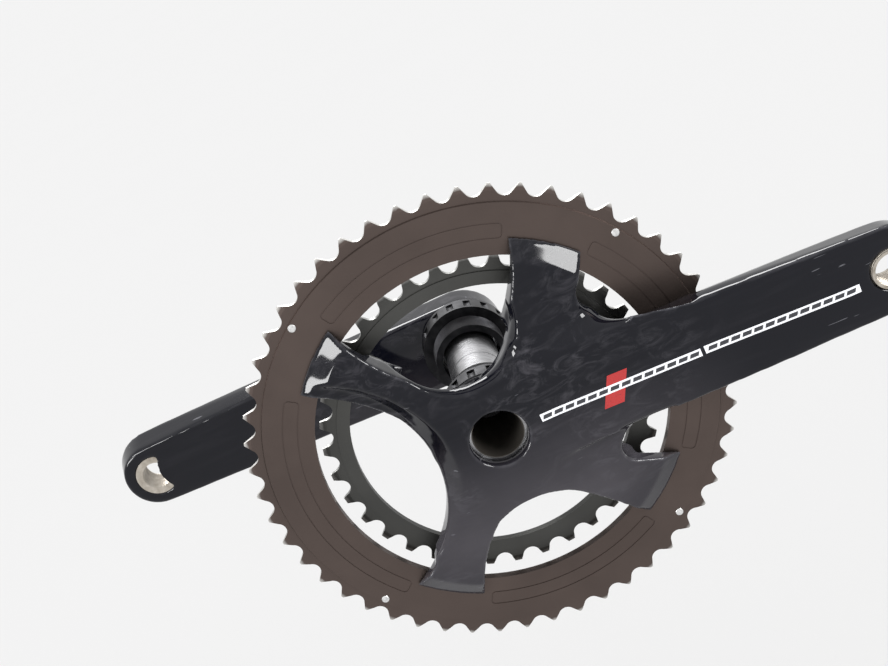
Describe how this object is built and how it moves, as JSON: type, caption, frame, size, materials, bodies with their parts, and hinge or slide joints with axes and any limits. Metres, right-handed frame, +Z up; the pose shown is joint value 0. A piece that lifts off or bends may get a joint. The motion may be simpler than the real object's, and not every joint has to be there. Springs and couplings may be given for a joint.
{
  "type": "bicycle crankset",
  "caption": "Road bicycle crankset: two crank arms on a two-piece axle with external bearing cups and a pair of chainrings on a four-arm spider",
  "frame": {"origin": "Middle of the crank axle, where the crank axis meets the bicycle's centre plane", "axes": "+X runs along the right crank arm at rest, +Y points to the bicycle's left (the chainrings face -Y), +Z is up"},
  "size_m": [0.384, 0.1456, 0.2126],
  "materials": {
    "carbon_arm": "glossy clear-coated moulded carbon fibre",
    "outer_ring_metal": "satin brushed, warm grey anodised",
    "inner_ring_metal": "satin brushed, dark grey anodised",
    "axle_steel": "ground alloy steel",
    "dark_steel": "blackened steel",
    "bright_steel": "polished bearing steel",
    "rivet_metal": "plain turned metal",
    "insert_metal": "turned metal, bright edge",
    "cup_metal": "black anodised",
    "cage_brass": "stamped brass",
    "seal_rubber": "matt black rubber"
  },
  "bodies": {
    "bottom_bracket": {"right_cup": "cup_metal", "left_cup": "cup_metal", "right_outer_race": "bright_steel", "left_outer_race": "bright_steel", "right_bearing_shields": "seal_rubber", "left_bearing_shields": "seal_rubber", "right_lip_seal": "seal_rubber", "left_lip_seal": "seal_rubber", "bearing_retaining_clip": "axle_steel", "wave_washer": "axle_steel"},
    "crank": {"right_crank_arm": "carbon_arm", "left_crank_arm": "carbon_arm", "right_half_axle": "axle_steel", "left_half_axle": "axle_steel", "fixing_bolt": "dark_steel", "fixing_bolt_washer": "axle_steel", "right_pedal_insert": "insert_metal", "left_pedal_insert": "insert_metal", "outer_chainring": "outer_ring_metal", "inner_chainring": "inner_ring_metal", "outer_chainring_bolts": "dark_steel", "inner_chainring_bolts": "dark_steel", "shift_rivets": "rivet_metal", "chain_guard_pin": "rivet_metal", "right_inner_race": "bright_steel", "left_inner_race": "bright_steel"},
    "right_ball_set": {"right_balls": "bright_steel", "right_ball_cage": "cage_brass"},
    "left_ball_set": {"left_balls": "bright_steel", "left_ball_cage": "cage_brass"}
  },
  "joints": [
    {"name": "crank_spin", "type": "hinge", "parent": "bottom_bracket", "child": "crank", "pos_m": [0, 0, 0], "axis": [0, 1, 0], "continuous": true},
    {"name": "right_bearing_roll", "type": "hinge", "parent": "bottom_bracket", "child": "right_ball_set", "pos_m": [0, -0.0394, 0], "axis": [0, 1, 0], "continuous": true},
    {"name": "left_bearing_roll", "type": "hinge", "parent": "bottom_bracket", "child": "left_ball_set", "pos_m": [0, 0.0394, 0], "axis": [0, 1, 0], "continuous": true}
  ],
  "couplings": [
    {"joint": "right_bearing_roll", "follows": "crank_spin", "ratio": 0.4426},
    {"joint": "left_bearing_roll", "follows": "crank_spin", "ratio": 0.4426}
  ]
}
